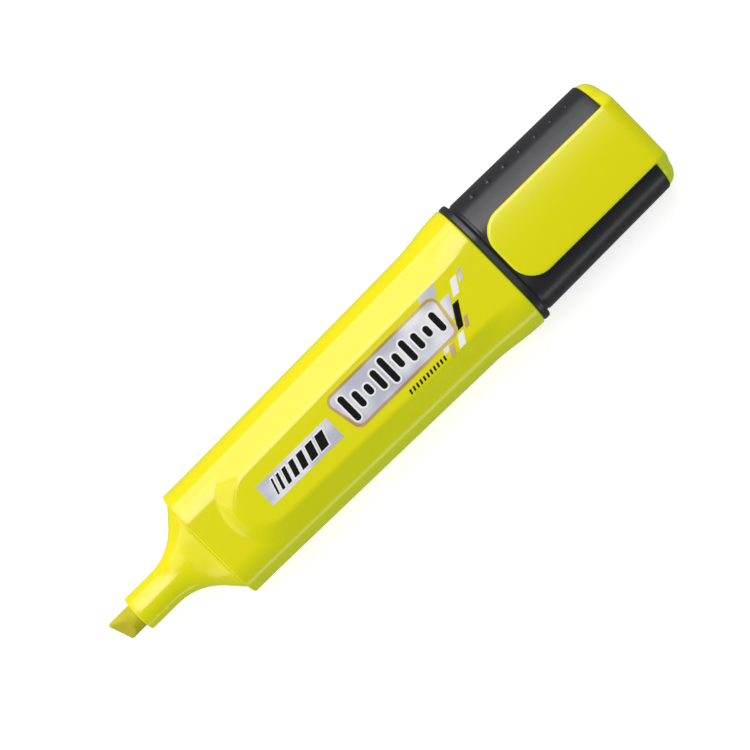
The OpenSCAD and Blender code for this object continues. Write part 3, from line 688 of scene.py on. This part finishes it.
# %% [markdown]
# ### Black cap plastic
# The cap's mould is lightly spark-eroded, so the black is satin: a fine even grain in the bump, and a
# roughness that drifts a little where fingers have polished it.

# %% Black plastic
def black_plastic():
    f = Finish("black_plastic")
    grain = f.noise(0.16, detail=2)
    polish = f.noise(6, detail=2)
    dust = f.noise(0.35, detail=1).above(0.74, 0.8)
    return f.surface(
        Base_Color=f.mix(0.25 * dust, (0.018, 0.018, 0.021), (0.09, 0.09, 0.09)),
        Roughness=0.27 + 0.09 * polish + 0.15 * dust, IOR=1.5,
        Normal=f.bump(grain, 0.004))


# %% [markdown]
# ### Nib, core and the plain plastics
# Pressed fibre is matt and streaked along the rod, and the ink darkens it in blots. The core is
# the same fibre, looser. The inner cap is unpigmented polythene, and the core's wrap is a thin film.

# %% Fibre and plain plastics
def nib_felt():
    f = Finish("nib_felt")
    streak = f.noise(0.25, detail=3, stretch=(0.12, 1, 1))
    blot = f.noise(1.3, detail=2)
    wet = f.mix(streak, (0.42, 0.36, 0.006), (0.66, 0.56, 0.012))
    return f.surface(
        Base_Color=f.mix(0.45 * blot, wet, (0.30, 0.25, 0.01)), Roughness=0.5 + 0.25 * streak, IOR=1.35,
        # The faint green emission is a painted glow on the fibre, not lamp light.
        Emission_Color=(0.05, 0.7, 0.0), Emission_Strength=0.03, Normal=f.bump(streak, 0.05))


def ink_fibre():
    f = Finish("ink_fibre")
    streak = f.noise(0.3, detail=3, stretch=(0.05, 1, 1))
    return f.surface(
        Base_Color=f.mix(streak, (0.75, 0.78, 0.05), (0.85, 0.88, 0.10)), Roughness=0.9,
        Normal=f.bump(streak, 0.08))


def plain_plastic(name, colour, roughness):
    f = Finish(name)
    cloud = f.noise(5, detail=2)
    paler = tuple(min(1, 1.08 * part) for part in colour)
    return f.surface(
        Base_Color=f.mix(cloud, colour, paler), Roughness=roughness + 0.1 * cloud, IOR=1.5,
        Normal=f.bump(f.noise(0.3), 0.004))


# %% [markdown]
# ### Prints
# The marks are stamped foil and ink on the panel. Foil is not a mirror here: it is a thin pale layer whose
# uneven sheen is partly painted into its colour as pale and grey clouds, and partly a drifting roughness.
# Inks are even, with a faint tooth where the screen left it.

# %% Foils and inks
def foil(name, colour, shade):
    f = Finish(name)
    painted_sheen_and_gloss = f.noise(5, detail=1, stretch=(0.6, 1, 1))
    tooth = f.noise(0.12, detail=1)
    return f.surface(
        # The pale and grey clouds in the foil's colour are a painted reflection over its own silver tone.
        Base_Color=f.mix(painted_sheen_and_gloss.above(0.35, 0.65), colour, shade), Metallic=0.35, Roughness=0.3 + 0.15 * painted_sheen_and_gloss,
        Normal=f.bump(tooth, 0.002))


def ink(name, colour, roughness):
    f = Finish(name)
    tooth = f.noise(0.15, detail=2)
    paler = tuple(0.94 * part + 0.006 for part in colour)
    return f.surface(
        Base_Color=f.mix(tooth, colour, paler), Roughness=roughness + 0.06 * tooth, Specular_IOR_Level=0.3,
        Normal=f.bump(tooth, 0.001))


finishes = {
    "yellow_plastic": yellow_plastic(),
    "cap_plastic": black_plastic(),
    "natural_plastic": plain_plastic("natural_plastic", (0.80, 0.80, 0.76), 0.4),
    "nib_felt": nib_felt(),
    "ink_fibre": ink_fibre(),
    "clear_film": plain_plastic("clear_film", (0.86, 0.88, 0.80), 0.2),
    "silver_foil": foil("silver_foil", (0.80, 0.80, 0.84), (0.46, 0.47, 0.56)),
    "bronze_foil": foil("bronze_foil", (0.66, 0.46, 0.20), (0.42, 0.25, 0.10)),
    "black_ink": ink("black_ink", (0.004, 0.004, 0.005), 0.12),
    "white_ink": ink("white_ink", (0.88, 0.87, 0.84), 0.3)}
node_slots = {entry["node"]: entry["material_slot"] for entry in frame["record"]["subparts"]}
for node, piece in frame["nodes"].items():
    for index in range(len(piece.material_slots)):
        piece.material_slots[index].material = finishes[node_slots[node]]
skins = {
    "barrel_skin": "yellow_plastic", "nose_skin": "yellow_plastic", "nib": "nib_felt",
    "rear_plug_skin": "yellow_plastic", "cap_skin": "cap_plastic", "dome_and_clip": "yellow_plastic"}
for name, slot_name in skins.items():
    made[name].data.materials.append(finishes[slot_name])
print("finishes:", ", ".join(sorted(finishes)))

# %% [markdown]
# ## Camera
# The camera looks down on the printed face from 45 cm, turned so that the pen rises to the upper right at
# about 45 degrees, and leaning 4 degrees to the +y side. Its lens fits the whole pen in the frame.

# %% Camera
VIEW_DISTANCE, VIEW_WIDTH = 450, 136.4
VIEW_CENTRE_X, VIEW_SHIFT = 66.7, 0.71
PEN_ANGLE, LEAN = np.radians(44.65), np.radians(4)
back = np.array([0, np.sin(LEAN), np.cos(LEAN)])
across_view = np.array([0, np.cos(LEAN), -np.sin(LEAN)])
along_pen = np.array([1, 0, 0])
right = np.cos(PEN_ANGLE) * along_pen - np.sin(PEN_ANGLE) * across_view
up = np.sin(PEN_ANGLE) * along_pen + np.cos(PEN_ANGLE) * across_view
target = to_frame([VIEW_CENTRE_X, 0, 0]) + VIEW_SHIFT * MM * across_view
camera_data = bpy.data.cameras.new("camera")
camera_data.lens = camera_data.sensor_width * VIEW_DISTANCE / VIEW_WIDTH
camera_data.clip_start = 0.01
camera = bpy.data.objects.new("camera", camera_data)
placed = np.eye(4)
placed[:3, :3] = np.stack([right, up, back], axis=1)
placed[:3, 3] = target + VIEW_DISTANCE * MM * back
camera.matrix_world = Matrix(placed.tolist())
bpy.context.scene.collection.objects.link(camera)
bpy.context.scene.camera = camera
print("lens", round(camera_data.lens, 1), "mm at", np.round(placed[:3, 3], 3))

# %% [markdown]
# ## Light
# One tall softbox curves over the +y side, from almost overhead down towards the table, and fades a little
# on its way. The flats of the pen miss it and the round shoulder mirrors it, so a pale band starts crisply
# at the edge of the flat. Three panels make the curve. A narrow low one on the other side draws a line
# along that edge. Three weak ones light the slopes that face forwards: two past the nib, one over the
# other, and one between them and the tall softbox.

# %% Softboxes
LAMP_DISTANCE = 0.8
DIAGONAL = np.sqrt(0.5)


def softbox(name, side, from_angle, to_angle, length, radiance):
    """A panel on an arc over the pen, between two angles in degrees from overhead, on one side of it."""
    low, high = np.radians([from_angle, to_angle])
    middle, half = (low + high) / 2, (high - low) / 2
    outwards = np.sin(middle) * np.array([*side, 0]) + np.cos(middle) * np.array([0, 0, 1])
    level = np.array([side[1], -side[0], 0])
    light = bpy.data.lights.new(name, "AREA")
    light.shape = "RECTANGLE"
    light.size, light.size_y = length, 2 * LAMP_DISTANCE * np.tan(half)
    light.energy = radiance * np.pi * light.size * light.size_y
    lamp = bpy.data.objects.new(name, light)
    turned = np.eye(4)
    turned[:3, :3] = np.stack([level, np.cross(outwards, level), outwards], axis=1)
    turned[:3, 3] = LAMP_DISTANCE * outwards
    lamp.matrix_world = Matrix(turned.tolist())
    bpy.context.scene.collection.objects.link(lamp)


for index, (from_angle, to_angle, radiance) in enumerate([(4, 30, 4.5), (30, 55, 3.8), (55, 87, 2.6)]):
    softbox(f"main_softbox_{index}", (0, 1), from_angle, to_angle, 0.45, radiance)
softbox("edge_softbox", (0, -1), 82, 94, 1.0, 1.8)
softbox("front_softbox", (-1, 0), 64, 92, 0.9, 1.2)
softbox("front_fill", (-1, 0), 36, 64, 0.7, 0.5)
softbox("corner_softbox", (-DIAGONAL, DIAGONAL), 28, 84, 0.45, 1.3)

# %% [markdown]
# The room is dim and the table glows a little, like a light table, so the pen's shadow stays faint on a
# clean white ground.

# %% Room and table
ROOM_GLOW = 0.16
world = bpy.data.worlds.new("studio")
world.use_nodes = True
world.node_tree.nodes["Background"].inputs["Color"].default_value = (1, 1, 1, 1)
world.node_tree.nodes["Background"].inputs["Strength"].default_value = ROOM_GLOW
bpy.context.scene.world = world
bpy.context.scene.view_settings.view_transform = "Standard"

FLOOR_HALF, FLOOR_DROP = 3.0, 0.00005
floor_mesh = bpy.data.meshes.new("floor")
floor_corners = FLOOR_HALF * np.array([(-1, -1), (1, -1), (1, 1), (-1, 1)])
floor_mesh.from_pydata([(x, y, -FLOOR_DROP) for x, y in floor_corners], [], [(0, 1, 2, 3)])
floor = bpy.data.objects.new("floor", floor_mesh)
bpy.context.scene.collection.objects.link(floor)
floor_finish = Finish("floor")
floor_mesh.materials.append(floor_finish.surface(
    Base_Color=floor_finish.mix(floor_finish.noise(40), (0.50, 0.50, 0.50), (0.52, 0.52, 0.52)),
    Roughness=0.9, Emission_Color=(1.0, 1.0, 1.0), Emission_Strength=0.75))
floor.visible_glossy = False
